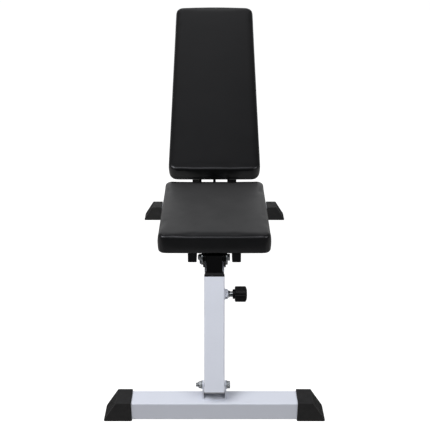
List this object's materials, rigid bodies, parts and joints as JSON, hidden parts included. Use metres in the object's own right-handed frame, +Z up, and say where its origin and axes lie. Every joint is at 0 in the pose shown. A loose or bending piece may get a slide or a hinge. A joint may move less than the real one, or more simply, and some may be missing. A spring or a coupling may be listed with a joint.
{
  "type": "adjustable weight bench",
  "caption": "Flat to incline weight bench with a fixed seat, tilting backrest, telescoping pivoted front leg, spring-pin knobs and wide feet with ribbed end caps.",
  "frame": {"origin": "on the floor, midway between the front edge of the front foot and the rear edge of the rear foot, on the bench's centre line", "axes": "+X to the right of someone facing the seat's front, the side of the two knobs; +Y from the seat towards the backrest; +Z up"},
  "size_m": [0.55, 1.2, 0.7999],
  "materials": {
    "white_coat": "white powder coat",
    "black_coat": "satin black powder coat",
    "zinc": "bright zinc plate",
    "black_plastic": "moulded satin black",
    "cap_rubber": "matte black",
    "grey_plastic": "moulded grey",
    "vinyl": "smooth black vinyl",
    "plywood": "bare plywood"
  },
  "bodies": {
    "frame": {"main_beam": "white_coat", "beam_nose": "white_coat", "rear_foot_bar": "white_coat", "rear_cap_left": "cap_rubber", "rear_cap_right": "cap_rubber", "rear_gussets": "white_coat", "hinge_plate_left": "black_coat", "hinge_plate_right": "black_coat", "hinge_spacers": "black_plastic", "leg_pivot_bolt": "zinc", "leg_pivot_nut": "zinc", "leg_pivot_washers": "zinc", "plate_bolts": "zinc", "plate_nuts": "zinc", "tower_left": "white_coat", "tower_right": "white_coat", "back_weld_nut": "white_coat", "seat_rail_left": "black_coat", "seat_rail_right": "black_coat", "seat_rail_plugs": "black_plastic", "seat_cross": "black_coat", "seat_board": "plywood", "seat_pad": "vinyl", "seat_bolts": "zinc", "seat_tee_nuts": "zinc", "back_pivot_bolt": "zinc", "back_pivot_nut": "zinc", "back_pivot_spacers": "zinc"},
    "leg_inner": {"leg_inner_tube": "black_coat", "leg_glide": "black_plastic"},
    "leg_outer": {"leg_outer_tube": "white_coat", "leg_end_plug": "grey_plastic", "leg_bush": "black_plastic", "height_weld_nut": "white_coat"},
    "height_sleeve": {"height_pin_sleeve": "zinc", "height_pin_spring": "zinc"},
    "height_pull": {"height_pin": "zinc", "height_knob": "black_plastic"},
    "front_foot": {"front_foot_bar": "white_coat", "front_cap_left": "cap_rubber", "front_cap_right": "cap_rubber", "front_bracket": "white_coat", "foot_pivot_bolt": "zinc", "foot_pivot_nut": "zinc", "foot_pivot_washers": "zinc"},
    "backrest": {"back_rail_left": "black_coat", "back_rail_right": "black_coat", "back_rail_plugs": "black_plastic", "back_crosses": "black_coat", "back_lugs": "black_coat", "sector_plate": "black_coat", "back_board": "plywood", "back_pad": "vinyl", "back_bolts": "zinc", "back_tee_nuts": "zinc"},
    "back_sleeve": {"back_pin_sleeve": "zinc", "back_pin_spring": "zinc"},
    "back_pull": {"back_pin": "zinc", "back_knob": "black_plastic"}
  },
  "joints": [
    {"name": "front_leg_tilt", "type": "hinge", "parent": "frame", "child": "leg_inner", "pos_m": [0, -0.43239, 0.37231], "axis": [1, 0, 0], "range_deg": [-8, 8]},
    {"name": "front_leg_height", "type": "slide", "parent": "leg_inner", "child": "leg_outer", "axis": [0, -0.4305, -0.9026], "range_m": [0, 0.12]},
    {"name": "height_knob_turn", "type": "hinge", "parent": "leg_outer", "child": "height_sleeve", "pos_m": [0.04, -0.47157, 0.29018], "axis": [1, 0, 0], "continuous": true},
    {"name": "height_knob_pull", "type": "slide", "parent": "height_sleeve", "child": "height_pull", "axis": [1, 0, 0], "range_m": [-0.01, 0], "stiffness_N_per_m": 1500, "springref_m": -0.015},
    {"name": "front_foot_tilt", "type": "hinge", "parent": "leg_outer", "child": "front_foot", "pos_m": [0, -0.568, 0.088], "axis": [1, 0, 0], "range_deg": [-10, 10]},
    {"name": "backrest_tilt", "type": "hinge", "parent": "frame", "child": "backrest", "pos_m": [0, -0.09499, 0.37751], "axis": [1, 0, 0], "range_deg": [-28, 56]},
    {"name": "back_knob_turn", "type": "hinge", "parent": "frame", "child": "back_sleeve", "pos_m": [0.045, -0.02801, 0.32518], "axis": [1, 0, 0], "continuous": true},
    {"name": "back_knob_pull", "type": "slide", "parent": "back_sleeve", "child": "back_pull", "axis": [1, 0, 0], "range_m": [-0.01, 0], "stiffness_N_per_m": 1500, "springref_m": -0.015}
  ]
}
